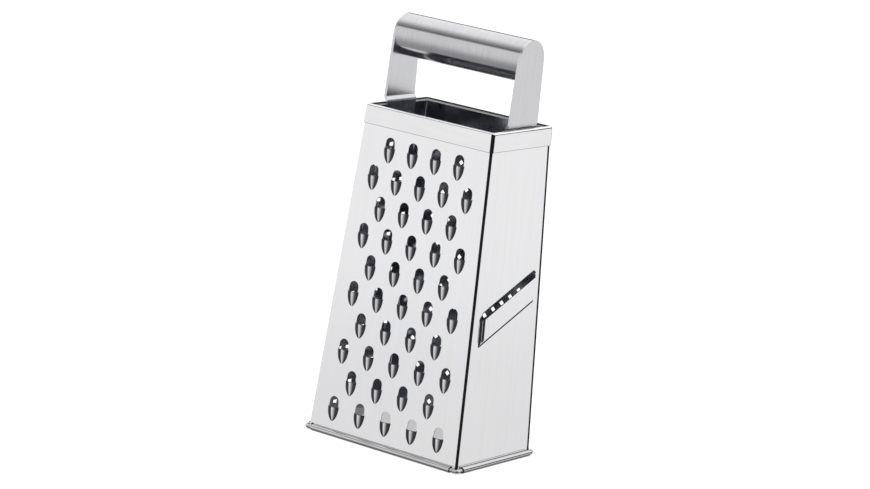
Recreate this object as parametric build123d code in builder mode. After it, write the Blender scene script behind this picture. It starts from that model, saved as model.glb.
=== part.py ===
from build123d import *
from math import atan, cos, degrees, radians, sin, sqrt, tan
import os

# Body: four walls of sheet steel that lean in towards the top, open above and below
base_length = 103.5
base_depth = 72.9
rim_length = 86.2
rim_depth = 57.7
body_height = 190.0
sheet = 0.5
corner_radius = 1.2
seam_gap = 0.1

# Hem: the foot of each wall is rolled outwards round a steel wire
wire_diameter = 2.4
wire_clearance = 0.05
wire_bend_radius = 2.4
wire_sides = 16
hem_end_gap = 3.4
hem_mouth_angle = 128
foot_flat = 1.0
relief_width = 1.8
relief_height = 2.2

# Collar: a stamped channel that caps the upper edges of the walls
collar_sheet = 0.6
collar_height = 11.0
collar_clearance = 0.1
collar_edge_radius = 1.5
collar_lip_space = 0.4
collar_lip_height = 1.9
collar_lip_radius = 0.5

# Handle: a round tube between two flat straps that step in behind the collar's lip
finger_gap = 25.8
bar_diameter = 24.2
bar_wall = 1.0
weld_gap = 0.05
strap_sheet = 1.5
strap_span = 86.1
strap_foot_width = 27.4
strap_step_height = 2.6
strap_step_drop = 2.2
strap_bend_radius = 0.8
strap_tab_height = 10.0
strap_tab_corner = 3.0
strap_clearance = 0.1

# Coarse teeth: staggered rows of punched scoops on the front wall
coarse_even_columns = 5
coarse_first_edge = 16.6
coarse_top_margin = 9.0
coarse_row_pitch = 16.84
coarse_column_pitch_share = 0.179
coarse_hole_width = 6.3
coarse_hole_height = 6.0
coarse_scoop_length = 8.5
coarse_scoop_radius = 3.8
coarse_scoop_sink = 1.7
coarse_scoop_sides = 8

# Slicer: a slanted bridge pressed out of the right wall below a slot
slicer_angle = 21.8
slicer_edge_height = 95.5
slicer_width = 46.7
slicer_height = 12.3
slicer_rise = 2.0
slicer_ramp = 3.0
slicer_slot = 3.65
slicer_slot_corner = 2.5
slicer_toe_chamfer = 3.2
slicer_flap_chamfer = 1.6
slicer_chamfer_share = 1.6

# Rasp: punched diamond holes with a raised burr, staggered over the back wall
rasp_first_row = 13.7
rasp_top_margin = 11.0
rasp_row_pitch = 4.95
rasp_column_pitch = 10.66
rasp_edge_margin = 12.0
rasp_shift = 1.1
rasp_hole_diagonal = 3.2
rasp_burr_diagonal = 5.6
rasp_burr_height = 0.9

# Fine teeth: small punched hoods, staggered over the left wall
fine_first_row = 12.0
fine_top_margin = 5.0
fine_row_pitch = 10.8
fine_column_pitch = 7.6
fine_edge_margin = 6.5
fine_hole_width = 3.4
fine_hole_height = 2.2
fine_hood_length = 4.4
fine_hood_radius = 2.2
fine_hood_sink = 0.9
fine_hood_sides = 4

# How far a cutting shape runs past what it cuts
overrun = 2.0

turns = {"front": 0, "right": 90, "back": 180, "left": 270}
hem_inner = wire_diameter / 2 + wire_clearance
hem_outer = hem_inner + sheet
hem_height = sqrt(hem_outer**2 - (foot_flat / 2) ** 2)
wall_top = body_height - collar_sheet - collar_clearance
overall_height = body_height + finger_gap + bar_diameter
collar_bottom = body_height - collar_height


def half_length(height):
    return (base_length + (rim_length - base_length) * height / body_height) / 2


def half_depth(height):
    return (base_depth + (rim_depth - base_depth) * height / body_height) / 2


# Half the width of a wall at a height, and how far its outer face stands from the middle
def wall_span(side, height):
    if side in ("front", "back"):
        return half_length(height), half_depth(height)
    return half_depth(height), half_length(height)


# The outer face of a wall: X along it, Y up the slope, Z outwards
def wall_plane(side):
    distance = wall_span(side, 0)[1]
    lean = (distance - wall_span(side, body_height)[1]) / body_height
    foot = Vector(0, -distance, 0).rotate(Axis.Z, turns[side])
    along = Vector(1, 0, 0).rotate(Axis.Z, turns[side])
    outward = Vector(0, -1, lean).rotate(Axis.Z, turns[side])
    return Plane(origin=foot, x_dir=along, z_dir=outward)


# The section plane of a hem: origin at the wire's centre, X outwards, Y up
def hem_plane(side):
    distance = wall_span(side, hem_height)[1] + hem_inner
    centre = Vector(0, -distance, hem_height).rotate(Axis.Z, turns[side])
    outward = Vector(0, -1, 0).rotate(Axis.Z, turns[side])
    back_along = Vector(-1, 0, 0).rotate(Axis.Z, turns[side])
    return Plane(origin=centre, x_dir=outward, z_dir=back_along)


# A block that tapers with the walls, a margin outside their outer faces
def tapered_block(low, high, margin, radius):
    with BuildPart() as block:
        with BuildSketch(Plane.XZ):
            with BuildLine():
                Polyline(
                    (-half_length(low) - margin, low),
                    (half_length(low) + margin, low),
                    (half_length(high) + margin, high),
                    (-half_length(high) - margin, high),
                    close=True,
                )
            make_face()
        extrude(amount=base_depth, both=True)
        with BuildSketch(Plane.YZ):
            with BuildLine():
                Polyline(
                    (-half_depth(low) - margin, low),
                    (half_depth(low) + margin, low),
                    (half_depth(high) + margin, high),
                    (-half_depth(high) - margin, high),
                    close=True,
                )
            make_face()
        extrude(amount=base_length, both=True, mode=Mode.INTERSECT)
        fillet(block.edges().filter_by(Plane.XY, reverse=True), radius=radius)
    return block.part


# The space of one wall, up to the mitre planes through the corners of the body
def wall_space(side):
    gap = seam_gap / sqrt(2)
    with BuildPart() as space:
        for height in (-overrun, body_height + overrun):
            half_width, distance = wall_span(side, height)
            outside = half_width + overrun - gap
            inside = half_width - overrun - gap
            with BuildSketch(Plane.XY.offset(height).rotated((0, 0, turns[side]))):
                with BuildLine():
                    Polyline(
                        (-outside, -distance - overrun),
                        (outside, -distance - overrun),
                        (inside, -distance + overrun),
                        (-inside, -distance + overrun),
                        close=True,
                    )
                make_face()
        loft(ruled=True)
    return space.part


# One wall: its plate, half of each corner bend, the hem and the relief slots beside it
def wall_blank(side):
    outer = tapered_block(hem_height, wall_top, 0, corner_radius)
    inner = tapered_block(hem_height, wall_top, -sheet, corner_radius - sheet)
    space = wall_space(side)
    half_width = wall_span(side, hem_height)[0]
    hem_half = half_width - hem_end_gap
    mouth = radians(hem_mouth_angle)
    mouth_reach = 2 * hem_outer
    with BuildPart() as blank:
        add(outer)
        add(inner, mode=Mode.SUBTRACT)
        add(space, mode=Mode.INTERSECT)
        with BuildSketch(hem_plane(side)):
            Circle(hem_outer)
            Circle(hem_inner, mode=Mode.SUBTRACT)
            with BuildLine():
                Polyline(
                    (0, 0),
                    (mouth_reach * cos(mouth), mouth_reach * sin(mouth)),
                    (-mouth_reach, mouth_reach),
                    (-mouth_reach, 0),
                    close=True,
                )
            make_face(mode=Mode.SUBTRACT)
            with Locations((0, -hem_height)):
                Rectangle(2 * hem_outer, hem_outer, align=(Align.CENTER, Align.MAX), mode=Mode.SUBTRACT)
        extrude(amount=hem_half, both=True)
        with BuildSketch(wall_plane(side)):
            for end in (-1, 1):
                with Locations((end * (hem_half + relief_width / 2), hem_height)):
                    Rectangle(relief_width, relief_height * 2)
        extrude(amount=overrun, both=True, mode=Mode.SUBTRACT)
    return blank.part


# How many rows fit between the first one and a margin below the collar
def row_count(first, pitch, top_margin):
    return int((collar_bottom - top_margin - first) / pitch) + 1


# Places of a staggered pattern: every other row is shifted by half a pitch
def staggered(side, first, top_margin, row_pitch, column_pitch, margin):
    places = []
    for row in range(row_count(first, row_pitch, top_margin)):
        height = first + row * row_pitch
        reach = wall_span(side, height)[0] - margin
        shift = column_pitch / 2 * (row % 2)
        for column in range(-int((reach + shift) / column_pitch), int((reach - shift) / column_pitch) + 1):
            places.append((shift + column * column_pitch, height))
    return places


# Front wall with its coarse teeth
def coarse_places():
    places = []
    for row in range(row_count(coarse_first_edge, coarse_row_pitch, coarse_top_margin)):
        height = coarse_first_edge + row * coarse_row_pitch
        columns = coarse_even_columns - row % 2
        pitch = coarse_column_pitch_share * 2 * half_length(height)
        for column in range(columns):
            places.append(((column - (columns - 1) / 2) * pitch, height))
    return places


# A scoop is a bar with flats that dives into the sheet below the cutting edge
def diving_bar(radius, sides, sink, floor, length, dive):
    slope = degrees(atan(dive / length))
    with BuildPart() as bar:
        with BuildSketch(Plane.XZ.rotated((slope, 0, 0)).offset(-radius)):
            with Locations((0, -sink)):
                RegularPolygon(radius, sides, rotation=90)
        extrude(amount=radius + 2 * length)
        with Locations((0, 0, floor)):
            Box(
                2 * radius,
                2 * length,
                2 * radius,
                align=(Align.CENTER, Align.MAX, Align.MIN),
                mode=Mode.INTERSECT,
            )
    return bar.part


coarse_skin = diving_bar(
    coarse_scoop_radius,
    coarse_scoop_sides,
    coarse_scoop_sink,
    -sheet / 2,
    coarse_scoop_length,
    coarse_scoop_radius - coarse_scoop_sink,
)
coarse_hollow = diving_bar(
    coarse_scoop_radius - sheet,
    coarse_scoop_sides,
    coarse_scoop_sink,
    -2 * sheet,
    coarse_scoop_length,
    coarse_scoop_radius - coarse_scoop_sink,
)
with BuildPart() as coarse_bite:
    add(coarse_hollow)
    with BuildSketch(Plane.XY.offset(-sheet)):
        with Locations((0, coarse_hole_height - coarse_hole_width / 2)):
            RegularPolygon(coarse_hole_width / 2, coarse_scoop_sides)
        Rectangle(
            coarse_hole_width,
            coarse_hole_height - coarse_hole_width / 2,
            align=(Align.CENTER, Align.MIN),
        )
    extrude(amount=overrun, both=True)

front_blank = wall_blank("front")
front_face = wall_plane("front")
with BuildPart() as front_coarse_panel:
    add(front_blank)
    with Locations(front_face):
        with Locations(*coarse_places()):
            add(coarse_skin, clean=False)
            add(coarse_bite.part, clean=False, mode=Mode.SUBTRACT)
front_coarse_panel.part.label = "front_coarse_panel"


# Right wall with the slicer
def slant(along, up):
    return along, slicer_edge_height + along * tan(radians(slicer_angle)) + up


# The outline of the pressed bridge: its upper side is the cutting edge, its toe is chamfered
def bridge_outline(half_width, lift, depth, chamfer):
    drop = chamfer * slicer_chamfer_share
    return [
        slant(-half_width, lift),
        slant(-half_width, -depth + drop),
        slant(-half_width + chamfer, -depth),
        slant(half_width - chamfer, -depth),
        slant(half_width, -depth + drop),
        slant(half_width, lift),
    ]


ramp_angle = atan(slicer_rise / slicer_ramp)
ramp_inset = sheet * (1 / cos(ramp_angle) - 1) / tan(ramp_angle)
ramp_drop = slicer_ramp / cos(radians(slicer_angle))
slicer_half = slicer_width / 2


def bridge(lower, lift, inset):
    levels = (
        (lower, slicer_half + slicer_ramp - inset, slicer_height + ramp_drop - inset, slicer_toe_chamfer),
        (lower + slicer_rise, slicer_half - inset, slicer_height - inset, slicer_flap_chamfer),
    )
    with BuildPart() as block:
        for level, half_width, depth, chamfer in levels:
            with BuildSketch(Plane.XY.offset(level)):
                with BuildLine():
                    Polyline(*bridge_outline(half_width, lift, depth, chamfer), close=True)
                make_face()
        loft(ruled=True)
    return block.part


bridge_skin = bridge(0, 0, 0)
bridge_hollow = bridge(-sheet, slicer_slot / 2, ramp_inset)
right_blank = wall_blank("right")
right_face = wall_plane("right")
with BuildPart() as right_slicer_panel:
    add(right_blank)
    with Locations(right_face):
        add(bridge_skin)
        add(bridge_hollow, mode=Mode.SUBTRACT)
    with BuildSketch(right_face):
        with BuildLine():
            Polyline(
                slant(-slicer_half - slicer_ramp, 0),
                slant(slicer_half + slicer_ramp, 0),
                slant(slicer_half + slicer_ramp, slicer_slot - slicer_slot_corner),
                slant(slicer_half + slicer_ramp - slicer_slot_corner, slicer_slot),
                slant(-slicer_half - slicer_ramp + slicer_slot_corner, slicer_slot),
                slant(-slicer_half - slicer_ramp, slicer_slot - slicer_slot_corner),
                close=True,
            )
        make_face()
    extrude(amount=overrun, both=True, mode=Mode.SUBTRACT)
right_slicer_panel.part.label = "right_slicer_panel"

# Back wall with its rasp: each diamond is punched through the middle of a raised burr
rasp_slope = atan((rasp_burr_diagonal - rasp_hole_diagonal) / 2 / sqrt(2) / rasp_burr_height)
rasp_root_diagonal = rasp_burr_diagonal + sheet / 2 * 2 * sqrt(2) * tan(rasp_slope)
with BuildPart() as rasp_burr:
    with BuildSketch(Plane.XY.offset(-sheet / 2)):
        Rectangle(rasp_root_diagonal / sqrt(2), rasp_root_diagonal / sqrt(2), rotation=45)
    extrude(amount=sheet / 2 + rasp_burr_height, taper=degrees(rasp_slope))

with BuildPart() as rasp_hole:
    with BuildSketch():
        Rectangle(rasp_hole_diagonal / sqrt(2), rasp_hole_diagonal / sqrt(2), rotation=45)
    extrude(amount=overrun, both=True)

rasp_places = staggered(
    "back", rasp_first_row, rasp_top_margin, rasp_row_pitch, rasp_column_pitch, rasp_edge_margin
)
rasp_places = [(along - rasp_shift, up) for along, up in rasp_places]
back_blank = wall_blank("back")
back_face = wall_plane("back")
with BuildPart() as back_rasp_panel:
    add(back_blank)
    with Locations(back_face):
        with Locations(*rasp_places):
            add(rasp_burr.part, clean=False)
            add(rasp_hole.part, clean=False, mode=Mode.SUBTRACT)
back_rasp_panel.part.label = "back_rasp_panel"


# Left wall with its fine teeth: each hood is a ridged bar that dives into the sheet
fine_skin = diving_bar(
    fine_hood_radius, fine_hood_sides, fine_hood_sink, -sheet / 2, fine_hood_length, fine_hood_radius - fine_hood_sink
)
fine_hollow = diving_bar(
    fine_hood_radius - sheet,
    fine_hood_sides,
    fine_hood_sink,
    -2 * sheet,
    fine_hood_length,
    fine_hood_radius - fine_hood_sink,
)
with BuildPart() as fine_bite:
    add(fine_hollow)
    with BuildSketch():
        Rectangle(fine_hole_width, fine_hole_height, align=(Align.CENTER, Align.MIN))
    extrude(amount=overrun, both=True)

fine_places = staggered(
    "left", fine_first_row, fine_top_margin, fine_row_pitch, fine_column_pitch, fine_edge_margin
)
left_blank = wall_blank("left")
left_face = wall_plane("left")
with BuildPart() as left_fine_panel:
    add(left_blank)
    with Locations(left_face):
        with Locations(*fine_places):
            add(fine_skin, clean=False)
            add(fine_bite.part, clean=False, mode=Mode.SUBTRACT)
left_fine_panel.part.label = "left_fine_panel"

# Base wire: one closed ring that lies in the four hems and shows at the corners
wire_x = half_length(hem_height) + hem_inner
wire_y = half_depth(hem_height) + hem_inner
with BuildPart() as base_wire:
    with BuildLine(Plane.XY.offset(hem_height)) as wire_path:
        FilletPolyline(
            (wire_x, -wire_y),
            (wire_x, wire_y),
            (-wire_x, wire_y),
            (-wire_x, -wire_y),
            radius=wire_bend_radius,
            close=True,
        )
    with BuildSketch(Plane(origin=wire_path.line @ 0, z_dir=wire_path.line % 0)):
        RegularPolygon(wire_diameter / 2, wire_sides)
    sweep()
base_wire.part.label = "base_wire"

# Top collar: skirt outside the walls, flat flange over them and a lip down their inner side
collar_outer = collar_clearance + collar_sheet
lip_outer = -sheet - collar_lip_space
lip_inner = lip_outer - collar_sheet
flange_underside = body_height - collar_sheet
lip_bottom = body_height - collar_lip_height
rim_corner = corner_radius - sheet
collar_solid = tapered_block(collar_bottom, body_height, collar_outer, corner_radius + collar_outer)
collar_pocket = tapered_block(
    collar_bottom - overrun, flange_underside, collar_clearance, corner_radius + collar_clearance
)
collar_opening = tapered_block(collar_bottom, body_height + overrun, lip_inner, rim_corner)
collar_lip = tapered_block(lip_bottom, flange_underside, lip_outer, rim_corner + collar_sheet)
with BuildPart() as top_collar:
    add(collar_solid)
    fillet(top_collar.faces().sort_by(Axis.Z)[-1].edges(), radius=collar_edge_radius)
    add(collar_pocket, mode=Mode.SUBTRACT)
    add(collar_lip)
    add(collar_opening, mode=Mode.SUBTRACT)
    fillet(top_collar.faces().sort_by(Axis.Z)[-1].inner_wires()[0].edges(), radius=collar_lip_radius)
top_collar.part.label = "top_collar"

# Handle bar: a round tube between the straps
bar_height = overall_height - bar_diameter / 2
bar_half = strap_span / 2 - strap_sheet - weld_gap
with BuildPart() as handle_bar:
    with BuildSketch(Plane.YZ):
        with Locations((0, bar_height)):
            Circle(bar_diameter / 2)
            Circle(bar_diameter / 2 - bar_wall, mode=Mode.SUBTRACT)
    extrude(amount=bar_half, both=True)
handle_bar.part.label = "handle_bar"

# Straps: flat steel, round at the bar, wider at the rim, stepped in behind the lip
step_top = body_height + strap_step_height
step_bottom = step_top - strap_step_drop
tab_bottom = step_bottom - strap_tab_height
tab_inset = -lip_inner + strap_clearance
with BuildPart() as right_handle_strap:
    with BuildSketch(Plane.XZ):
        with BuildLine():
            FilletPolyline(
                (strap_span / 2, overall_height),
                (strap_span / 2, step_top),
                (half_length(step_bottom) - tab_inset, step_bottom),
                (half_length(tab_bottom) - tab_inset, tab_bottom),
                radius=(strap_bend_radius + strap_sheet, strap_bend_radius),
            )
            offset(amount=strap_sheet, side=Side.RIGHT)
        make_face()
    extrude(amount=strap_foot_width, both=True)
    with BuildSketch(Plane.YZ):
        with BuildLine():
            Polyline(
                (-bar_diameter / 2, bar_height),
                (-strap_foot_width / 2, step_top),
                (-strap_foot_width / 2, tab_bottom),
                (strap_foot_width / 2, tab_bottom),
                (strap_foot_width / 2, step_top),
                (bar_diameter / 2, bar_height),
                close=True,
            )
        make_face()
        fillet(vertices().group_by(Axis.Y)[0], radius=strap_tab_corner)
        with Locations((0, bar_height)):
            Circle(bar_diameter / 2)
    extrude(amount=strap_span, both=True, mode=Mode.INTERSECT)
right_handle_strap.part.label = "right_handle_strap"

with BuildPart() as left_handle_strap:
    mirror(right_handle_strap.part, about=Plane.YZ)
left_handle_strap.part.label = "left_handle_strap"

# One file for each piece
os.makedirs("parts", exist_ok=True)
for piece in (
    front_coarse_panel,
    right_slicer_panel,
    back_rasp_panel,
    left_fine_panel,
    base_wire,
    top_collar,
    handle_bar,
    right_handle_strap,
    left_handle_strap,
):
    export_step(piece.part, "parts/" + piece.part.label + ".step")
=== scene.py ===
from math import cos, pi, radians, sin, tan

import bpy
from mathutils import Matrix, Vector


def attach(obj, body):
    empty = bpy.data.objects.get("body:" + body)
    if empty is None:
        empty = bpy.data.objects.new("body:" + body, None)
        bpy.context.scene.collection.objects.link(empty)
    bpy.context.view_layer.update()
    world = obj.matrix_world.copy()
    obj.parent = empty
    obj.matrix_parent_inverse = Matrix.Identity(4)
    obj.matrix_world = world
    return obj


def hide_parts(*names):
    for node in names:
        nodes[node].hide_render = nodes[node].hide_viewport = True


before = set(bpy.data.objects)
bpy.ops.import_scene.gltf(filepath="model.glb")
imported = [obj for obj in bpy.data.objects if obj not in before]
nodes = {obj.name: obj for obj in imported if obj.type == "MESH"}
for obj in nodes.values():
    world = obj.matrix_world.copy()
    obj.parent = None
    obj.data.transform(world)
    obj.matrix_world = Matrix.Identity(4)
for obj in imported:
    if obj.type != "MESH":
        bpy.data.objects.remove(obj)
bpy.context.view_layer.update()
bpy.ops.object.select_all(action="DESELECT")
print("frame loaded")


# helpers for the node trees: a value may be a number, a colour or another node's output
def plug(tree, socket, value):
    if isinstance(value, (int, float)):
        socket.default_value = value
    elif isinstance(value, tuple):
        socket.default_value = (*value, 1.0)
    else:
        tree.links.new(value, socket)


def addNode(tree, kind, values=None, links=None, **settings):
    node = tree.nodes.new(kind)
    for name, value in settings.items():
        setattr(node, name, value)
    for name, value in (values or {}).items():
        node.inputs[name].default_value = value
    for name, source in (links or {}).items():
        tree.links.new(source, node.inputs[name])
    return node


def mathNode(tree, operation, *values):
    node = addNode(tree, "ShaderNodeMath", operation=operation)
    for place, value in enumerate(values):
        plug(tree, node.inputs[place], value)
    return node.outputs[0]


def rangeNode(tree, value, fromLow, fromHigh, toLow=0.0, toHigh=1.0):
    limits = {"From Min": fromLow, "From Max": fromHigh, "To Min": toLow, "To Max": toHigh}
    node = addNode(
        tree, "ShaderNodeMapRange", values=limits, links={"Value": value}, interpolation_type="SMOOTHSTEP"
    )
    return node.outputs["Result"]


def mixLevels(tree, share, low, high):
    node = addNode(tree, "ShaderNodeMix", data_type="FLOAT")
    for place, value in ((0, share), (2, low), (3, high)):
        plug(tree, node.inputs[place], value)
    return node.outputs[0]


def mixColours(tree, share, low, high):
    node = addNode(tree, "ShaderNodeMix", data_type="RGBA")
    for place, value in ((0, share), (6, low), (7, high)):
        plug(tree, node.inputs[place], value)
    return node.outputs[2]


def objectHeight(tree):
    place = addNode(tree, "ShaderNodeTexCoord")
    return addNode(tree, "ShaderNodeSeparateXYZ", links={"Vector": place.outputs["Object"]}).outputs["Z"]


def addSockets(tree, way, kind, names):
    for name in names:
        tree.interface.new_socket(name, in_out=way, socket_type="NodeSocket" + kind)


# what polished steel mirrors, by its direction from the grater, with angles in degrees
studio = {
    "darkSides": ((67.0, 8.0, 5.0), (201.0, 8.0, 5.0)),  # azimuth of a dark strip, half width, softness
    "darkCorners": ((0.0505, -0.0365), (0.0505, 0.0365)),  # the corners of the grater that mirror them
    "ringStart": (39.0, 43.5),  # angle over the top, from the front, where the dark beam starts
    "ringEnd": (44.0, 95.0),  # angles over which it brightens into the overhead light
    "rearStart": (154.0, 162.0),  # angles over which that light ends in the dark foot of the rear wall
    "rearEnd": (176.0, 179.0),
    "darkLevel": 0.35,
    "ringLevel": 0.22,
    "wallLevel": 1.0,
    "overheadLevel": 1.32,
    "rearLevel": 0.05,
    "skyLevel": 1.0,
    "white": (1.0, 1.0, 1.0, 1.0),
}


# the angle from the front towards an axis
def frontAngle(tree, direction, axis):
    parts = addNode(tree, "ShaderNodeSeparateXYZ", links={"Vector": direction})
    forwards = mathNode(tree, "MULTIPLY", parts.outputs["Y"], -1.0)
    return mathNode(tree, "ARCTAN2", parts.outputs[axis], forwards)


def buildStudioGroup():
    tree = bpy.data.node_groups.new("studioZones", "ShaderNodeTree")
    addSockets(tree, "INPUT", "Vector", ("Direction", "Rear Direction"))
    addSockets(tree, "OUTPUT", "Float", ("Brightness",))
    source = tree.nodes.new("NodeGroupInput")
    target = tree.nodes.new("NodeGroupOutput")
    strips = []
    for place, (centre, half, soft) in enumerate(studio["darkSides"]):
        azimuth = frontAngle(tree, source.outputs[place], "X")
        turn = mathNode(tree, "WRAP", mathNode(tree, "SUBTRACT", azimuth, radians(centre)), pi, -pi)
        away = mathNode(tree, "ABSOLUTE", turn)
        edges = radians(half - soft), radians(half + soft)
        strips.append(rangeNode(tree, away, *edges, studio["darkLevel"], studio["wallLevel"]))
    sides = mathNode(tree, "MINIMUM", *strips)
    overTop = frontAngle(tree, source.outputs["Direction"], "Z")
    # the front wall, the dark beam above it, the overhead light, the rear wall
    level = sides
    for edge, after in (
        ("ringStart", studio["ringLevel"]),
        ("ringEnd", studio["overheadLevel"]),
        ("rearStart", studio["rearLevel"]),
        ("rearEnd", sides),
    ):
        share = rangeNode(tree, overTop, *(radians(value) for value in studio[edge]))
        level = mixLevels(tree, share, level, after)
    tree.links.new(level, target.inputs[0])
    return tree


studioGroup = buildStudioGroup()


def buildWorld():
    world = bpy.data.worlds.new("studioWorld")
    bpy.context.scene.world = world
    world.use_nodes = True
    tree = world.node_tree
    tree.nodes.clear()
    way = addNode(tree, "ShaderNodeTexCoord").outputs["Generated"]
    zones = addNode(tree, "ShaderNodeGroup", node_tree=studioGroup, links={0: way, 1: way})
    path = addNode(tree, "ShaderNodeLightPath")
    level = mixLevels(tree, path.outputs["Is Camera Ray"], zones.outputs[0], studio["skyLevel"])
    sky = addNode(
        tree, "ShaderNodeBackground", values={"Color": studio["white"]}, links={"Strength": level}
    )
    addNode(tree, "ShaderNodeOutputWorld", links={"Surface": sky.outputs[0]})


buildWorld()

floorSettings = {
    "size": 6.0,
    "paper": (0.82, 0.82, 0.82, 1.0),
    "shadowShare": 0.4,
    "mirrorShadowShare": 0.03,
    "cameraLevel": 1.34,
    "nearLevel": 0.90,
    "farLevel": 1.02,
    "nearRadius": 0.08,
    "farRadius": 0.9,
    "footprint": (0.0545, 0.0395),  # half the length and depth of the hems
    # the reach and darkness of the painted contact shadow round the hems and of the painted shadow under the
    # grater
    "paintedContactShadowReach": 0.008,
    "paintedContactShadowLevel": 0.25,
    "paintedInsideShadowReach": 0.004,
    "paintedInsideShadowLevel": 0.62,
}


# how bright the paper is in the steel: by direction and distance, with painted shade near the grater and a
# painted contact shadow close to the hems; the paper seen under the grater gets a painted shadow
def floorLevels(tree):
    spot = addNode(tree, "ShaderNodeTexCoord").outputs["Object"]
    zones = addNode(tree, "ShaderNodeGroup", node_tree=studioGroup)
    for socket, corner in enumerate(studio["darkCorners"]):
        away = addNode(
            tree,
            "ShaderNodeVectorMath",
            operation="SUBTRACT",
            links={0: spot},
            values={1: (*corner, 0.0)},
        )
        tree.links.new(away.outputs[0], zones.inputs[socket])
    reach = addNode(tree, "ShaderNodeVectorMath", operation="LENGTH", links={0: spot}).outputs["Value"]
    # painted shade: the paper mirrored near the grater is darker than far from it
    radii = floorSettings["nearRadius"], floorSettings["farRadius"]
    near = rangeNode(tree, reach, *radii, floorSettings["nearLevel"], floorSettings["farLevel"])
    parts = addNode(tree, "ShaderNodeSeparateXYZ", links={"Vector": spot})
    outside = [
        mathNode(tree, "SUBTRACT", mathNode(tree, "ABSOLUTE", parts.outputs[axis]), half)
        for axis, half in enumerate(floorSettings["footprint"])
    ]
    clear = mathNode(tree, "MAXIMUM", *outside)
    # painted contact shadow: the paper darkens close to the hems
    paintedContactShadow = rangeNode(
        tree, clear, 0.0, floorSettings["paintedContactShadowReach"], floorSettings["paintedContactShadowLevel"], 1.0
    )
    # painted shadow under the grater, inside the hems
    inside = rangeNode(tree, clear, -floorSettings["paintedInsideShadowReach"], 0.0, floorSettings["paintedInsideShadowLevel"], 1.0)
    mirrored = mathNode(tree, "MULTIPLY", mathNode(tree, "MULTIPLY", zones.outputs[0], near), paintedContactShadow)
    seen = mathNode(tree, "MULTIPLY", inside, floorSettings["cameraLevel"])
    return mirrored, seen


def buildFloor():
    bpy.ops.mesh.primitive_plane_add(size=floorSettings["size"], location=(0, 0, 0))
    floor = bpy.context.object
    floor.name = "studioFloor"
    paper = bpy.data.materials.new("whiteFloor")
    paper.use_nodes = True
    tree = paper.node_tree
    tree.nodes.clear()
    mirrored, seen = floorLevels(tree)
    path = addNode(tree, "ShaderNodeLightPath")
    level = mixLevels(tree, path.outputs["Is Camera Ray"], mirrored, seen)
    glow = addNode(
        tree, "ShaderNodeEmission", values={"Color": studio["white"]}, links={"Strength": level}
    )
    matt = addNode(tree, "ShaderNodeBsdfDiffuse", values={"Color": floorSettings["paper"]})
    # only part of the shadow on the paper is shown, and less of it in the steel
    direct, mirror = 1.0 - floorSettings["shadowShare"], 1.0 - floorSettings["mirrorShadowShare"]
    share = mathNode(
        tree,
        "MAXIMUM",
        mathNode(tree, "MULTIPLY", path.outputs["Is Camera Ray"], direct),
        mathNode(tree, "MULTIPLY", path.outputs["Is Glossy Ray"], mirror),
    )
    blend = addNode(
        tree, "ShaderNodeMixShader", links={0: share, 1: matt.outputs[0], 2: glow.outputs[0]}
    )
    addNode(tree, "ShaderNodeOutputMaterial", links={"Surface": blend.outputs[0]})
    floor.data.materials.append(paper)
    floor.select_set(False)


buildFloor()

overhead = {"place": (-0.7, -0.5, 1.6), "aim": (0, 0, 0.1), "size": 1.2, "power": 9.0}
lampData = bpy.data.lights.new("overheadSoftbox", "AREA")
lampData.shape = "DISK"
lampData.size = overhead["size"]
lampData.energy = overhead["power"]
lamp = bpy.data.objects.new("overheadSoftbox", lampData)
lamp.location = overhead["place"]
lampWay = Vector(overhead["aim"]) - Vector(overhead["place"])
lamp.rotation_euler = lampWay.to_track_quat("-Z", "Y").to_euler()
lamp.visible_glossy = False
bpy.context.scene.collection.objects.link(lamp)
print("studio built")

# the camera is fitted to the edges of the grater in the photo
photoView = {
    "place": (1.055075, -1.569555, 0.507410),
    "turn": (78.18053, -6.95037, 35.50244),
    "lens": 142.105,
    "sensor": 36.0,
    "clip": (0.01, 50.0),
}
cameraData = bpy.data.cameras.new("photoCamera")
cameraData.sensor_width = photoView["sensor"]
cameraData.sensor_fit = "HORIZONTAL"
cameraData.lens = photoView["lens"]
cameraData.clip_start, cameraData.clip_end = photoView["clip"]
camera = bpy.data.objects.new("photoCamera", cameraData)
camera.location = photoView["place"]
camera.rotation_euler = [radians(value) for value in photoView["turn"]]
bpy.context.scene.collection.objects.link(camera)
bpy.context.scene.camera = camera
bpy.context.scene.view_settings.view_transform = "Standard"
print("camera placed")

# drawn streaks, broad blotches and fine scratches, shared by every steel
grain = {
    "streaks": {"Scale": 1.0, "Detail": 3.0, "Roughness": 0.6},
    "blotches": {"Detail": 2.0, "Roughness": 0.5},
    "scratches": {"Scale": 1.0, "Detail": 1.0},
    "scratchMap": {"Rotation": (0.4, 0.7, 0.3), "Scale": (900.0, 160.0, 420.0)},
    "scratchWidth": 0.012,
    "streakShare": 0.6,
    "blotchShare": 0.4,
    "noiseRange": (0.3, 0.7),
    "bumpHeight": 0.00002,
}
# where and how dark the painted shade on a scoop's flanks falls, and its colour
paintedFlankShadeMap = {"left": (0.53, 0.46), "right": (0.52, 0.76), "colour": (0.02, 0.02, 0.025)}
black = (0.0, 0.0, 0.0)


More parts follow.
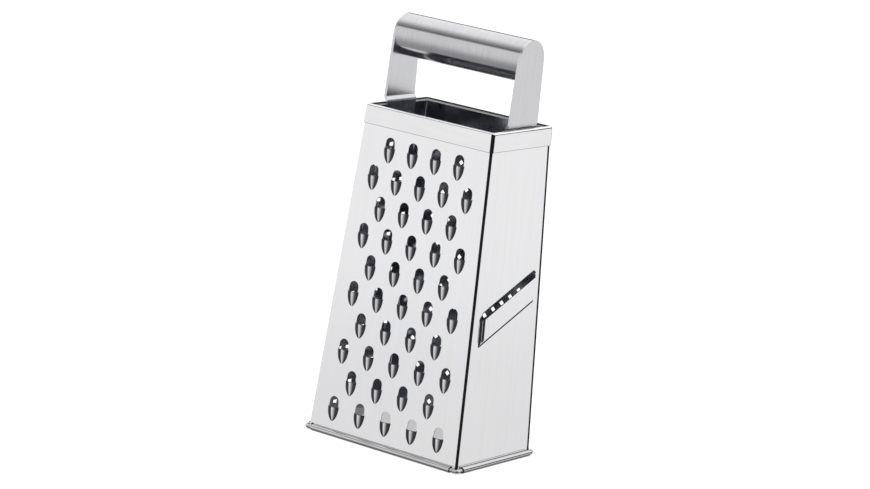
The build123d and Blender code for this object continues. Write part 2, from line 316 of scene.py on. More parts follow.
def buildGrainGroup():
    tree = bpy.data.node_groups.new("steelGrain", "ShaderNodeTree")
    addSockets(tree, "INPUT", "Vector", ("Stretch",))
    addSockets(tree, "INPUT", "Float", ("Blotch Size",))
    addSockets(tree, "OUTPUT", "Float", ("Streaks", "Blotches", "Scratches"))
    source = tree.nodes.new("NodeGroupInput")
    target = tree.nodes.new("NodeGroupOutput")
    spot = addNode(tree, "ShaderNodeTexCoord").outputs["Object"]
    stretch = {0: spot, 1: source.outputs["Stretch"]}
    drawn = addNode(tree, "ShaderNodeVectorMath", operation="MULTIPLY", links=stretch)
    streaks = addNode(
        tree, "ShaderNodeTexNoise", links={"Vector": drawn.outputs[0]}, values=grain["streaks"]
    )
    wide = {"Vector": spot, "Scale": source.outputs["Blotch Size"]}
    blotches = addNode(tree, "ShaderNodeTexNoise", links=wide, values=grain["blotches"])
    # a scratch is the thin ridge where a stretched noise crosses its middle
    turned = addNode(tree, "ShaderNodeMapping", links={"Vector": spot}, values=grain["scratchMap"])
    lines = addNode(
        tree, "ShaderNodeTexNoise", links={"Vector": turned.outputs[0]}, values=grain["scratches"]
    )
    middle = mathNode(tree, "ABSOLUTE", mathNode(tree, "SUBTRACT", lines.outputs["Fac"], 0.5))
    ridge = rangeNode(tree, middle, 0.0, grain["scratchWidth"], 1.0, 0.0)
    tree.links.new(streaks.outputs["Fac"], target.inputs["Streaks"])
    tree.links.new(blotches.outputs["Fac"], target.inputs["Blotches"])
    tree.links.new(ridge, target.inputs["Scratches"])
    return tree


grainGroup = buildGrainGroup()


# the colour of a steel, with the shading that some of them carry
def steelColour(tree, look, marks):
    streaks = mathNode(tree, "MULTIPLY", marks["Streaks"], grain["streakShare"])
    blotches = mathNode(tree, "MULTIPLY", marks["Blotches"], grain["blotchShare"])
    spread = rangeNode(tree, mathNode(tree, "ADD", streaks, blotches), *grain["noiseRange"])
    shade = mixColours(tree, spread, look["dull"], look["bright"])
    if "paintedFlankShade" in look:  # painted shade: the flanks of a punched scoop are painted darker than its crown, in place of the dark reflections they mirror
        chart = addNode(tree, "ShaderNodeUVMap", uv_map="scoopMap")
        across = addNode(tree, "ShaderNodeSeparateXYZ", links={"Vector": chart.outputs[0]}).outputs["X"]
        flankShades = [
            mathNode(tree, "MULTIPLY", rangeNode(tree, across, *paintedFlankShadeMap[hand]), dark)
            for hand, dark in zip(("left", "right"), look["paintedFlankShade"])
        ]
        shade = mixColours(tree, mathNode(tree, "MAXIMUM", *flankShades), shade, paintedFlankShadeMap["colour"])
    # a painted dark band above or below a height: painted shade or a painted dark reflection
    if "paintedShadeHeights" in look:
        edge = rangeNode(tree, objectHeight(tree), *look["paintedShadeHeights"], 0.0, look["paintedShadeStrength"])
        shade = mixColours(tree, edge, shade, black)
    # painted shade on the underside of the bar
    if "paintedUndersideHeights" in look:
        height = objectHeight(tree)
        start, full, fading, end = look["paintedUndersideHeights"]
        fall = rangeNode(tree, height, full, start, look["paintedUndersideShade"], 0.0)
        underShade = mathNode(tree, "MINIMUM", fall, rangeNode(tree, height, end, fading))
        shade = mixColours(tree, underShade, shade, black)
    return shade


def steelMaterial(name, look):
    material = bpy.data.materials.new(name)
    material.use_nodes = True
    tree = material.node_tree
    tree.nodes.clear()
    sizes = {"Stretch": look["stretch"], "Blotch Size": look["blotchSize"]}
    marks = addNode(tree, "ShaderNodeGroup", node_tree=grainGroup, values=sizes).outputs
    rough = rangeNode(tree, marks["Blotches"], *grain["noiseRange"], *look["rough"])
    scratched = mathNode(tree, "MULTIPLY", marks["Scratches"], look["scratchRough"])
    relief = addNode(
        tree,
        "ShaderNodeBump",
        values={"Strength": look["bump"], "Distance": grain["bumpHeight"]},
        links={"Height": marks["Streaks"]},
    )
    surface = addNode(
        tree,
        "ShaderNodeBsdfPrincipled",
        values={"Metallic": look.get("metallic", 1.0), "Specular IOR Level": look.get("specular", 0.5)},
        links={
            "Base Color": steelColour(tree, look, marks),
            "Roughness": mathNode(tree, "ADD", rough, scratched),
            "Normal": relief.outputs[0],
        },
    )
    addNode(tree, "ShaderNodeOutputMaterial", links={"Surface": surface.outputs[0]})
    return material


steelLooks = {
    "wallSteel": {
        "stretch": (420.0, 420.0, 9.0),
        "blotchSize": 14.0,
        "dull": (0.785, 0.786, 0.798),
        "bright": (0.812, 0.812, 0.822),
        "rough": (0.08, 0.12),
        "scratchRough": 0.03,
        "bump": 0.015,
    },
    # painted shade: the inside of the body is the same steel painted darker
    "shadedInsideSteel": {
        "stretch": (500.0, 500.0, 18.0),
        "blotchSize": 22.0,
        "dull": (0.30, 0.31, 0.34),
        "bright": (0.41, 0.42, 0.46),
        "rough": (0.14, 0.21),
        "scratchRough": 0.05,
        "bump": 0.05,
    },
    "hoodSteel": {
        "stretch": (500.0, 500.0, 60.0),
        "blotchSize": 60.0,
        "dull": (0.70, 0.71, 0.75),
        "bright": (0.82, 0.83, 0.86),
        "rough": (0.40, 0.46),
        "scratchRough": 0.05,
        "bump": 0.05,
    },
    # the tight bends and folds are painted near-black and matt: painted dark reflections and painted shade
    # that stand for the dark lines polished steel mirrors there
    "bendReflectionSteel": {
        "metallic": 0.0,
        "specular": 0.0,
        "stretch": (900.0, 900.0, 20.0),
        "blotchSize": 60.0,
        "dull": (0.010, 0.010, 0.012),
        "bright": (0.018, 0.018, 0.020),
        "rough": (0.10, 0.16),
        "scratchRough": 0.03,
        "bump": 0.02,
    },
    "foldShadeSteel": {
        "metallic": 0.0,
        "specular": 0.0,
        "stretch": (900.0, 900.0, 60.0),
        "blotchSize": 60.0,
        "dull": (0.025, 0.025, 0.028),
        "bright": (0.04, 0.04, 0.044),
        "rough": (0.10, 0.16),
        "scratchRough": 0.05,
        "bump": 0.08,
    },
    "punchedSteel": {
        "paintedFlankShade": (0.98, 0.96),
        "stretch": (700.0, 700.0, 60.0),
        "blotchSize": 90.0,
        "dull": (0.66, 0.66, 0.675),
        "bright": (0.80, 0.80, 0.81),
        "rough": (0.20, 0.26),
        "scratchRough": 0.05,
        "bump": 0.04,
    },
    # painted shade: the hems are the wall's steel painted darker, for the shaded floor they mirror
    "hemShadeSteel": {
        "stretch": (40.0, 40.0, 500.0),
        "blotchSize": 40.0,
        "dull": (0.50, 0.50, 0.51),
        "bright": (0.62, 0.62, 0.63),
        "rough": (0.08, 0.13),
        "scratchRough": 0.04,
        "bump": 0.02,
    },
    "collarSteel": {
        "paintedShadeHeights": (0.1795, 0.1791),  # where the painted shade at the skirt's rolled lower edge starts and is darkest
        "paintedShadeStrength": 0.55,
        "stretch": (40.0, 40.0, 300.0),
        "blotchSize": 30.0,
        "dull": (0.76, 0.76, 0.772),
        "bright": (0.80, 0.80, 0.81),
        "rough": (0.06, 0.10),
        "scratchRough": 0.03,
        "bump": 0.01,
    },
    "lipSteel": {
        "metallic": 0.0,
        "specular": 0.3,
        # painted dark reflection on the upper part of the lip
        "paintedShadeHeights": (0.1889, 0.1893),
        "paintedShadeStrength": 0.9,
        "stretch": (40.0, 40.0, 300.0),
        "blotchSize": 60.0,
        "dull": (0.76, 0.76, 0.77),
        "bright": (0.82, 0.82, 0.83),
        "rough": (0.50, 0.54),
        "scratchRough": 0.03,
        "bump": 0.02,
    },
    # painted shade: the wire is painted darker than the walls, for the dark it mirrors near the floor
    "wireShadeSteel": {
        "stretch": (300.0, 300.0, 300.0),
        "blotchSize": 90.0,
        "dull": (0.46, 0.46, 0.47),
        "bright": (0.58, 0.58, 0.59),
        "rough": (0.06, 0.12),
        "scratchRough": 0.05,
        "bump": 0.05,
    },
    "satinBar": {
        # heights, downwards, where the painted shade on the underside starts, is full, starts to fade and
        # ends
        "paintedUndersideHeights": (0.2300, 0.2240, 0.2232, 0.2218),
        "paintedUndersideShade": 0.52,
        "stretch": (2600.0, 90.0, 90.0),
        "blotchSize": 40.0,
        "dull": (0.50, 0.50, 0.52),
        "bright": (0.60, 0.60, 0.615),
        "rough": (0.12, 0.17),
        "scratchRough": 0.05,
        "bump": 0.05,
    },
    "satinStrap": {
        "stretch": (700.0, 700.0, 9.0),
        "blotchSize": 25.0,
        "dull": (0.585, 0.585, 0.605),
        "bright": (0.625, 0.625, 0.64),
        "rough": (0.22, 0.26),
        "scratchRough": 0.02,
        "bump": 0.02,
    },
}
steels = {name: steelMaterial(name, look) for name, look in steelLooks.items()}
print("steels mixed")


# gives a piece its steels and says which slot each of them has
def giveSteels(piece, *names):
    for name in names:
        piece.data.materials.append(steels[name])
    return {name: place for place, name in enumerate(names)}


# helpers for edit mode, modifiers and joining
def selectOnly(pieces):
    bpy.ops.object.select_all(action="DESELECT")
    for piece in pieces:
        piece.select_set(True)
    bpy.context.view_layer.objects.active = pieces[0]


def startEdit(piece, everything="DESELECT"):
    selectOnly([piece])
    bpy.ops.object.mode_set(mode="EDIT")
    bpy.ops.mesh.select_mode(type="VERT")
    bpy.ops.mesh.select_all(action=everything)


def endEdit(piece):
    bpy.ops.object.mode_set(mode="OBJECT")
    piece.select_set(False)


def pickVertices(piece, test):
    bpy.ops.object.mode_set(mode="OBJECT")
    vertices = piece.data.vertices
    for vertex in vertices:
        vertex.select = bool(test(vertex.co))
    for edge in piece.data.edges:
        edge.select = all(vertices[index].select for index in edge.vertices)
    for face in piece.data.polygons:
        face.select = all(vertices[index].select for index in face.vertices)
    bpy.ops.object.mode_set(mode="EDIT")


def applyModifiers(piece):
    selectOnly([piece])
    for modifier in list(piece.modifiers):
        bpy.ops.object.modifier_apply(modifier=modifier.name)
    piece.select_set(False)


def thicken(piece, thickness, even=False):
    sheet = piece.modifiers.new("sheet", "SOLIDIFY")
    sheet.thickness = thickness
    sheet.offset = -1
    sheet.use_even_offset = even
    applyModifiers(piece)


def cutWith(piece, cutter):
    cut = piece.modifiers.new("cut", "BOOLEAN")
    cut.operation = "DIFFERENCE"
    cut.solver = "EXACT"
    cut.object = cutter
    applyModifiers(piece)
    bpy.data.objects.remove(cutter)


def joinPieces(pieces, name):
    selectOnly(pieces)
    if len(pieces) > 1:
        bpy.ops.object.join()
    joined = bpy.context.view_layer.objects.active
    joined.name = name
    joined.select_set(False)
    return joined


# a cutter: an outline in the plate's plane, drawn out to both sides of it
def buildPrism(name, outline, reach):
    bpy.ops.mesh.primitive_circle_add(vertices=len(outline), fill_type="NGON", radius=1)
    prism = bpy.context.object
    prism.name = name
    for vertex, (across, up) in zip(prism.data.vertices, outline):
        vertex.co = (across, up, -reach)
    startEdit(prism, "SELECT")
    bpy.ops.mesh.extrude_region_move(TRANSFORM_OT_translate={"value": (0, 0, 2 * reach)})
    bpy.ops.mesh.select_all(action="SELECT")
    bpy.ops.mesh.normals_make_consistent(inside=False)
    endEdit(prism)
    return prism


shading = {
    "crease": 32.0,
    "wireCrease": 40.0,
    "flatWithin": 0.6,  # degrees off a flat's own direction
    "flatCosine": 0.9998,
    "mergeDistance": 0.000004,
}


# smooth curved parts, crisp flat ones: an edge is sharp where a flat face meets a curved one
def crispFlats(piece, flatDirections, creaseAngle=shading["crease"]):
    mesh = piece.data
    mesh.polygons.foreach_set("use_smooth", [True] * len(mesh.polygons))
    crease, within = cos(radians(creaseAngle)), cos(radians(shading["flatWithin"]))
    flat = [any(face.normal.dot(way) > within for way in flatDirections) for face in mesh.polygons]
    beside = {}
    for face in mesh.polygons:
        for key in face.edge_keys:
            beside.setdefault(key, []).append(face.index)
    for edge in mesh.edges:
        around = beside.get(edge.key, [])
        if len(around) != 2:
            edge.use_edge_sharp = True
            continue
        first, second = around
        turned = mesh.polygons[first].normal.dot(mesh.polygons[second].normal)
        flatEdge = flat[first] != flat[second] or (flat[first] and turned < shading["flatCosine"])
        edge.use_edge_sharp = turned < crease or flatEdge


def finishPiece(piece, nodeName):
    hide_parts(nodeName)
    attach(piece, "root")
    return piece


# a piece that keeps the frame's shape, merged and shaded smooth
def mergedCopy(nodeName, pieceName, flatDirections, creaseAngle=shading["crease"]):
    piece = bpy.data.objects.new(pieceName, nodes[nodeName].data.copy())
    bpy.context.scene.collection.objects.link(piece)
    startEdit(piece, "SELECT")
    bpy.ops.mesh.remove_doubles(threshold=shading["mergeDistance"])
    endEdit(piece)
    piece.data.materials.clear()
    crispFlats(piece, flatDirections, creaseAngle)
    return finishPiece(piece, nodeName)


# the sheet body: four walls, each bent at its sides and rolled round the wire at its foot
body = {
    "baseLength": 0.1035,
    "baseDepth": 0.0729,
    "rimLength": 0.0862,
    "rimDepth": 0.0577,
    "height": 0.190,
    "sheet": 0.0005,
    "bend": 0.0012,
    "bendEnd": 45.3,
    "bendSteps": 7,
    "wallTop": 0.1893,
    "leadTurn": 18.0,  # the rear edge of the right wall starts to bend softly before its corner
    "leadRadius": 0.0077,
    "leadSteps": 6,
    "softBendEnd": 34.3,
    "hemHeight": 0.001677,
    "hemInner": 0.00125,
    "hemTurn": 308.0,
    "hemSteps": 30,
    "hemEndGap": 0.0034,
    "reliefWidth": 0.0018,
    "reliefHeight": 0.0022,
    "reliefDepth": 0.004,
    "plateAbove": 0.05,
    "reach": 0.0001,
    "mergeDistance": 0.000002,
}
wallTurns = {"front": 0, "right": 90, "back": 180, "left": 270}


# half the width of a wall at a height, and its distance from the middle
def wallSpan(side, height):
    share = height / body["height"]
    length = (body["baseLength"] + (body["rimLength"] - body["baseLength"]) * share) / 2
    depth = (body["baseDepth"] + (body["rimDepth"] - body["baseDepth"]) * share) / 2
    return (length, depth) if side in ("front", "back") else (depth, length)


def turnRound(piece, side):
    piece.data.transform(Matrix.Rotation(radians(wallTurns[side]), 4, "Z"))


# the wall's own axes before it is turned to its side: across, up the slope, outwards
def wallMatrix(side):
    foot = Vector((0, -wallSpan(side, 0)[1], 0))
    lean = wallSpan(side, 0)[1] - wallSpan(side, body["height"])[1]
    up = Vector((0, lean, body["height"])).normalized()
    out = Vector((1, 0, 0)).cross(up)
    axes = Matrix(((1, up.x, out.x, 0), (0, up.y, out.y, 0), (0, up.z, out.z, 0), (0, 0, 0, 1)))
    return Matrix.Translation(foot) @ axes


# the directions in which a wall's plate faces, outwards and inwards
def wallFlats(side):
    turn = Matrix.Rotation(radians(wallTurns[side]), 3, "Z")
    out = turn @ (wallMatrix(side).to_3x3() @ Vector((0, 0, 1)))
    return [out, -out]


# half of a corner bend, after a softer one where the edge leads in to it
def bendCorner(wall, side, hand, soft):
    rise, bend = body["height"], body["bend"]
    (halfWidth, distance), (topHalf, topDistance) = wallSpan(side, 0), wallSpan(side, rise)
    along = Vector((hand * (topHalf - halfWidth), distance - topDistance, rise)).normalized()
    lead = radians(body["leadTurn"]) if soft else 0.0
    run = (body["leadRadius"] - bend) * sin(lead)
    inset = bend + run + body["mergeDistance"]
    startEdit(wall)
    pickVertices(wall, lambda place: place.x * hand > wallSpan(side, place.z)[0] - inset)
    deep = bend
    if soft:
        corner = (hand * (halfWidth - bend - run), -distance + body["leadRadius"], 0)
        bpy.ops.mesh.spin(steps=body["leadSteps"], angle=-lead * hand, center=corner, axis=along)
        deep = body["leadRadius"] - (body["leadRadius"] - bend) * cos(lead)
    corner = (hand * (halfWidth - bend), -distance + deep, 0)
    turn = radians(body["softBendEnd" if soft else "bendEnd"]) - lead
    bpy.ops.mesh.spin(steps=body["bendSteps"], angle=-turn * hand, center=corner, axis=along)
    endEdit(wall)


# the notches between the ends of a hem and the corners
def reliefCutter(side, hemHalf):
    reliefs = []
    middle = hemHalf + body["reliefWidth"] / 2
    for hand in (1, -1):
        bpy.ops.mesh.primitive_cube_add(
            size=1,
            location=(hand * middle, -wallSpan(side, 0)[1], body["hemHeight"]),
            scale=(body["reliefWidth"], body["reliefDepth"], 2 * body["reliefHeight"]),
        )
        relief = bpy.context.object
        relief.data.transform(relief.matrix_basis)
        relief.matrix_basis.identity()
        reliefs.append(relief)
    return joinPieces(reliefs, "reliefCutter")


def sheetWall(side, name, softHands=()):
    low, high, reach = body["hemHeight"], body["wallTop"], body["reach"]
    leadRun = (body["leadRadius"] - body["bend"]) * sin(radians(body["leadTurn"]))
    hemHalf = wallSpan(side, low)[0] - body["hemEndGap"]
    bpy.ops.mesh.primitive_grid_add(x_subdivisions=3, y_subdivisions=1, size=1)
    wall = bpy.context.object
    wall.name = name
    outerColumn = max(vertex.co.x for vertex in wall.data.vertices)
    for vertex in wall.data.vertices:
        height = low if vertex.co.y < 0 else high
        halfWidth, distance = wallSpan(side, height)
        hand = 1 if vertex.co.x > 0 else -1
        inset = body["hemEndGap"]
        if abs(vertex.co.x) > outerColumn - reach:
            inset = body["bend"] + (leadRun if hand in softHands else 0)
        vertex.co = hand * (halfWidth - inset), -distance, height
    for hand in (1, -1):
        bendCorner(wall, side, hand, hand in softHands)
    # the foot, rolled outwards round the wire
    startEdit(wall)
    pickVertices(wall, lambda place: place.z < low + reach and abs(place.x) < hemHalf + reach)
    bpy.ops.mesh.spin(
        steps=body["hemSteps"],
        angle=radians(body["hemTurn"]),
        center=(0, -wallSpan(side, low)[1] - body["hemInner"], low),
        axis=(1, 0, 0),
    )
    bpy.ops.mesh.select_all(action="SELECT")
    bpy.ops.mesh.remove_doubles(threshold=body["mergeDistance"])
    bpy.ops.mesh.normals_make_consistent(inside=False)
    endEdit(wall)
    plate = [face for face in wall.data.polygons if face.center.z > body["plateAbove"]]
    if sum(face.normal.y * face.area for face in plate) > 0:
        wall.data.flip_normals()
    thicken(wall, body["sheet"], even=True)
    for vertex in wall.data.vertices:
        vertex.co.z = max(vertex.co.z, 0.0)
    cutWith(wall, reliefCutter(side, hemHalf))
    return wall


# copies of one pattern piece at places across and up the wall, joined in one object
def spread(pattern, places, side, name):
    axes = wallMatrix(side)
    copies = []
    for across, up in places:
        copy = bpy.data.objects.new(pattern.name, pattern.data.copy())
        bpy.context.scene.collection.objects.link(copy)
        copy.data.transform(axes @ Matrix.Translation((across, up, 0)))
        copies.append(copy)
    bpy.data.objects.remove(pattern)
    return joinPieces(copies, name)


wallDress = {
    "steels": ("wallSteel", "shadedInsideSteel", "hemShadeSteel", "foldShadeSteel", "hoodSteel", "bendReflectionSteel"),
    "hemTop": 0.0037,
    "hemFront": 0.0001,  # faces further out than this belong to the hem
    "hemEnds": 0.004,
    "plateFoot": 0.006,
    "endTurn": 0.95,
    "outTurn": 0.6,
    "inTurn": 0.5,
    "hoodTurn": (0.2, 0.97),
    "hoodArea": 0.000012,
    "bendWidth": 0.0033,
    "bendTurn": 0.04,
}


# the steel of one face of a wall, by where it is and how it is turned
def wallFaceSteel(side, face, outward, sideways, inward):
    height = face.center.z
    halfWidth, distance = wallSpan(side, height)
    out, turned = face.normal.dot(outward), face.normal.dot(sideways)
    onPlate = height > wallDress["plateFoot"]
    hoodLow, hoodHigh = wallDress["hoodTurn"]
    # painted shade: the ends of the hems are painted dark where the gaps at the corners fall in shade
    if height < wallDress["hemEnds"] and abs(turned) > wallDress["endTurn"]:
        return "foldShadeSteel"
    if onPlate and hoodLow < face.normal.dot(inward) < hoodHigh and face.area < wallDress["hoodArea"]:
        return "hoodSteel"
    if onPlate and out > wallDress["outTurn"]:
        # the bends get the painted dark reflection, but for the one at the front wall's left
        place = face.center.dot(sideways)
        atEdge = abs(place) > halfWidth - wallDress["bendWidth"] and turned * place > 0
        bent = atEdge and abs(turned) > wallDress["bendTurn"]
        return "bendReflectionSteel" if bent and not (side == "front" and place < 0) else "wallSteel"
    # the inner faces get the painted shade of the inside steel
    if out < -wallDress["inTurn"] and height > wallDress["hemEnds"]:
        return "shadedInsideSteel"
    if height < wallDress["hemTop"] and face.center.dot(outward) - distance > wallDress["hemFront"]:
        return "hemShadeSteel"
    return "wallSteel"


def dressWall(wall, side):
    slots = giveSteels(wall, *wallDress["steels"])
    turn = radians(wallTurns[side])
    outward = Vector((sin(turn), -cos(turn), 0.0))
    sideways = Vector((cos(turn), sin(turn), 0.0))
    inward = wallFlats(side)[1]
    for face in wall.data.polygons:
        face.material_index = slots[wallFaceSteel(side, face, outward, sideways, inward)]


# the front wall's punched teeth: a scoop below each hole, its mouth open upwards
coarseTeeth = {
    "rows": 10,
    "evenColumns": 5,
    "firstEdge": 0.0166,
    "rowPitch": 0.01684,
    "columnPitchShare": 0.179,
    "holeWidth": 0.0061,
    "holeHeight": 0.0060,
    "archSteps": 24,
    "sideSteps": 31,
    "scoopWidth": 0.0071,
    "scoopLength": 0.0086,
    "scoopRise": 0.0022,
    "scoopSteps": (18, 14),
    # powers that shape the scoop's outline, its crown, its fall to the toe and its spacing
    "outlinePowers": (2.4, 0.62),
    "crownPowers": (2.3, 0.62),
    "fallPowers": (1.5, 0.9),
    "spacingPower": 0.9,
    "sink": 0.00003,
    "wallThickness": 0.00042,
    "cutInset": 0.0003,
    "cutToeInset": 0.0004,
    "cutLeast": 0.0001,
    "cutReach": 0.002,
    "mergeDistance": 0.00001,
    "insideTurn": 0.1,
    "mouthTurn": 0.6,
}


def coarsePlaces():
    places = []
    for row in range(coarseTeeth["rows"]):
        up = coarseTeeth["firstEdge"] + row * coarseTeeth["rowPitch"]
        columns = coarseTeeth["evenColumns"] - row % 2
        pitch = coarseTeeth["columnPitchShare"] * 2 * wallSpan("front", up)[0]
        places += [((column - (columns - 1) / 2) * pitch, up) for column in range(columns)]
    return places


# half the width of a scoop, from 0 at its cutting edge to 1 at its toe
def scoopHalfWidth(share):
    bulge, taper = coarseTeeth["outlinePowers"]
    return coarseTeeth["scoopWidth"] / 2 * max(0.0, 1 - share**bulge) ** taper


def buildScoop():
    stepsAcross, stepsAlong = coarseTeeth["scoopSteps"]
    bpy.ops.mesh.primitive_grid_add(x_subdivisions=stepsAcross, y_subdivisions=stepsAlong, size=2)
    scoop = bpy.context.object
    scoop.name = "coarseScoop"
    scoop.data.uv_layers.active.name = "scoopMap"
    (crownBulge, crownTaper), (fallBulge, fallTaper) = coarseTeeth["crownPowers"], coarseTeeth["fallPowers"]
    for vertex in scoop.data.vertices:
        across, along = vertex.co.x, (1 - vertex.co.y) / 2
        across = sin(across * pi / 2)
        along = sin(along * pi / 2) ** coarseTeeth["spacingPower"]
        crown = (1 - abs(across) ** crownBulge) ** crownTaper if abs(across) < 1 else 0.0
        lift = coarseTeeth["scoopRise"] * (1 - along**fallBulge) ** fallTaper * crown - coarseTeeth["sink"]
        vertex.co = (scoopHalfWidth(along) * across, -coarseTeeth["scoopLength"] * along, lift)
    startEdit(scoop, "SELECT")
    bpy.ops.mesh.remove_doubles(threshold=coarseTeeth["mergeDistance"])
    endEdit(scoop)
    thicken(scoop, coarseTeeth["wallThickness"])
    scoop.data.polygons.foreach_set("use_smooth", [True] * len(scoop.data.polygons))
    return scoop


# the hole: round at its top, and as wide as the inside of the scoop below the cutting edge
def buildScoopCutter():
    holeHalf = coarseTeeth["holeWidth"] / 2
    shoulder = coarseTeeth["holeHeight"] - holeHalf
    archSteps, sideSteps = coarseTeeth["archSteps"], coarseTeeth["sideSteps"]
    cutLength = coarseTeeth["scoopLength"] - coarseTeeth["cutToeInset"]
    outline = []
    for step in range(archSteps + 1):
        angle = pi * step / archSteps
        outline.append((holeHalf * cos(angle), shoulder + holeHalf * sin(angle)))
    for step in range(sideSteps):
        share = 1 - abs(1 - 2 * (step + 0.5) / sideSteps)
        hand = -1 if step < sideSteps / 2 else 1
        inner = max(scoopHalfWidth(share) - coarseTeeth["cutInset"], coarseTeeth["cutLeast"])
        outline.append((hand * inner, -cutLength * share))
    return buildPrism("coarseCutter", outline, coarseTeeth["cutReach"])


# the right wall's slicer: a flap raised on a bridge round its sides and toe, with the slot above it
slicer = {
    "angle": 21.8,
    "edgeHeight": 0.0955,
    "width": 0.0467,
    "height": 0.0123,
    "rise": 0.0020,
    "ramp": 0.0030,
    "slot": 0.00365,
    "slotCorner": 0.0025,
    "toeCorner": 0.0014,
    "toeDrop": 1.4,
    "toeSteps": 6,
    "cornerShrink": 0.2,
    "sunkRow": (-0.0001, -0.00002, -0.00002),  # inset, then the lift at the sides and at the toe
    # from the plate to the flap: share of the ramp crossed, share of the rise at the sides and the toe
    "profile": (
        (0.0, 0.0, 0.0),
        (0.08, 0.02, 0.01),
        (0.30, 0.16, 0.03),
        (0.42, 0.56, 0.16),
        (0.46, 0.60, 0.24),
        (0.52, 0.61, 0.34),
        (0.56, 0.63, 0.40),
        (0.90, 0.96, 0.94),
        (0.95, 0.99, 0.98),
        (1.0, 1.0, 1.0),
    ),
    "topShare": 0.999,
    "sheetShare": 0.9,
    "cutInset": 0.0002,
    "cutReach": 0.003,
    "insideTurn": 0.1,
    "sideTurn": 0.30,
    "foldHeight": 0.00025,
    "foldTurn": 0.01,
}
toeTurns = [step / slicer["toeSteps"] for step in range(slicer["toeSteps"] + 1)]


# a point of the slanted bridge: along it and away from its cutting edge
def slanted(along, up):
    return along, slicer["edgeHeight"] + along * tan(radians(slicer["angle"])) + up


# the outline of the bridge at an inset from the plate's outline, from its upper left end round its toe
def bridgeOutline(inset):
    half = slicer["width"] / 2 + slicer["ramp"] - inset
    depth = slicer["height"] + (slicer["ramp"] - inset) / cos(radians(slicer["angle"]))
    corner = slicer["toeCorner"] - inset * slicer["cornerShrink"]
    places = [(-half, 0.0), (-half, -depth / 2)]
    for hand, turns in ((-1, toeTurns), (1, toeTurns[::-1])):
        for turn in turns:
            angle = pi / 2 * turn
            across = half - corner + corner * cos(angle)
            places.append((hand * across, -depth + slicer["toeDrop"] * corner * (1 - sin(angle))))
    places += [(half, -depth / 2), (half, 0.0)]
    return [slanted(along, up) for along, up in places]


def buildBridge():
    rows = [slicer["sunkRow"]]
    rows += [
        (slicer["ramp"] * across, slicer["rise"] * side, slicer["rise"] * toe)
        for across, side, toe in slicer["profile"]
    ]
    lines = [bridgeOutline(inset) for inset, side, toe in rows]
    toeShares = [0, 0] + toeTurns + toeTurns[::-1] + [0, 0]
    lastColumn, lastRow = len(toeShares) - 1, len(rows) - 1
    bpy.ops.mesh.primitive_grid_add(x_subdivisions=lastColumn, y_subdivisions=lastRow, size=2)
    bridge = bpy.context.object
    bridge.name = "slicerBridge"
    for vertex in bridge.data.vertices:
        column = round((vertex.co.x + 1) / 2 * lastColumn)
        row = round((vertex.co.y + 1) / 2 * lastRow)
        across, up = lines[row][column]
        side, toe = rows[row][1:]
        vertex.co = (across, up, side + (toe - side) * toeShares[column])
    startEdit(bridge)
    pickVertices(bridge, lambda place: place.z > slicer["rise"] * slicer["topShare"])
    bpy.ops.mesh.edge_face_add()
    bpy.ops.mesh.select_all(action="SELECT")
    bpy.ops.mesh.normals_make_consistent(inside=False)
    endEdit(bridge)
    if sum(face.normal.z * face.area for face in bridge.data.polygons) < 0:
        bridge.data.flip_normals()
    thicken(bridge, body["sheet"] * slicer["sheetShare"])
    return bridge


def buildBridgeCutter():
    half = slicer["width"] / 2 + slicer["ramp"]
    corner, slot = slicer["slotCorner"], slicer["slot"]
    outline = bridgeOutline(slicer["cutInset"]) + [
        slanted(half, slot - corner),
        slanted(half - corner, slot),
        slanted(corner - half, slot),
        slanted(-half, slot - corner),
    ]
    return buildPrism("slicerCutter", outline, slicer["cutReach"])


frontWall = sheetWall("front", "frontWall")
cutWith(frontWall, spread(buildScoopCutter(), coarsePlaces(), "front", "coarseCutters"))
frontScoops = spread(buildScoop(), coarsePlaces(), "front", "frontScoops")
crispFlats(frontWall, wallFlats("front"))
dressWall(frontWall, "front")
slots = giveSteels(frontScoops, "punchedSteel", "shadedInsideSteel")
inward = wallFlats("front")[1]
# the scoops' insides and mouths get the painted shade of the inside steel
for face in frontScoops.data.polygons:
    facesIn = face.normal.dot(inward) > coarseTeeth["insideTurn"]
    inMouth = face.normal.z > coarseTeeth["mouthTurn"]
    face.material_index = slots["shadedInsideSteel" if facesIn or inMouth else "punchedSteel"]
finishPiece(joinPieces([frontWall, frontScoops], "front_coarse_wall"), "front_coarse_panel")
print("front wall built")

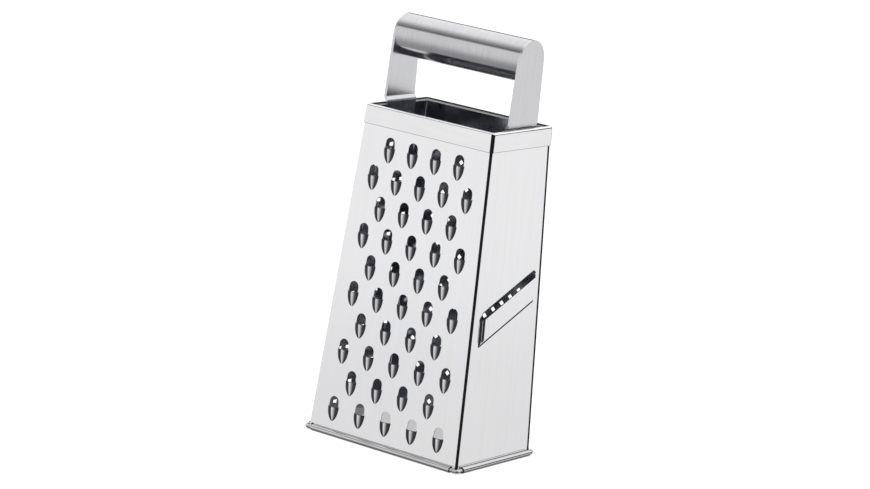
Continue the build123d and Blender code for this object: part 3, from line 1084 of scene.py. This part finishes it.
rightWall = sheetWall("right", "rightWall", (1,))
cutWith(rightWall, spread(buildBridgeCutter(), [(0, 0)], "right", "bridgeCutter"))
bridge = spread(buildBridge(), [(0, 0)], "right", "slicerBridge")
for piece in (rightWall, bridge):
    turnRound(piece, "right")
    crispFlats(piece, wallFlats("right"))
dressWall(rightWall, "right")
slots = giveSteels(bridge, "wallSteel", "shadedInsideSteel", "foldShadeSteel")
outward, inward = wallFlats("right")
rightFoot = Matrix.Rotation(radians(wallTurns["right"]), 4, "Z") @ wallMatrix("right").translation
for face in bridge.data.polygons:
    lift = (face.center - rightFoot).dot(outward)
    toeFold = lift < slicer["foldHeight"] and face.normal.z < -slicer["foldTurn"]
    if face.normal.dot(inward) > slicer["insideTurn"]:
        face.material_index = slots["shadedInsideSteel"]
    # painted shade on the ramp's sides and in the fold at its toe
    elif face.normal.y < -slicer["sideTurn"] or toeFold:
        face.material_index = slots["foldShadeSteel"]
finishPiece(joinPieces([rightWall, bridge], "right_slicer_wall"), "right_slicer_panel")
print("right wall built")

for side, nodeName in (("back", "back_rasp_panel"), ("left", "left_fine_panel")):
    wall = mergedCopy(nodeName, nodeName.replace("_panel", "_wall"), wallFlats(side))
    dressWall(wall, side)
print("walls dressed")

wire = mergedCopy("base_wire", "hem_wire", [], shading["wireCrease"])
giveSteels(wire, "wireShadeSteel")

collarDress = {
    "lipFoot": 0.188,
    "lipTurn": 0.3,
    "flangeTurn": 0.97,
    "cornerTurn": 0.13,
    "cornerRise": 0.5,
}
collarWays = [Vector((0, 0, 1)), Vector((0, 0, -1))] + [way for side in wallTurns for way in wallFlats(side)]
collar = mergedCopy("top_collar", "rim_collar", collarWays)
slots = giveSteels(collar, "collarSteel", "lipSteel", "bendReflectionSteel")
for face in collar.data.polygons:
    normal, place = face.normal, face.center
    inwards = normal.x * place.x + normal.y * place.y < 0
    inLip = place.z > collarDress["lipFoot"] and inwards
    if inLip and abs(normal.z) < collarDress["lipTurn"]:
        face.material_index = slots["lipSteel"]
    # the rounded top of the lip gets the painted dark reflection
    elif inLip and collarDress["lipTurn"] <= normal.z < collarDress["flangeTurn"]:
        face.material_index = slots["bendReflectionSteel"]
    # the outer corner bends get the painted dark reflection too, but for the one at the front left
    corner = min(abs(normal.x), abs(normal.y)) > collarDress["cornerTurn"]
    upright = abs(normal.z) < collarDress["cornerRise"]
    if corner and upright and not inwards and (place.x > 0 or place.y > 0):
        face.material_index = slots["bendReflectionSteel"]

endWays = [Vector((1, 0, 0)), Vector((-1, 0, 0))]
bar = mergedCopy("handle_bar", "handle_tube", endWays)
giveSteels(bar, "satinBar")
for side in ("left", "right"):
    strap = mergedCopy(side + "_handle_strap", side + "_strap", endWays)
    giveSteels(strap, "satinStrap")
print("collar, wire and handle dressed")
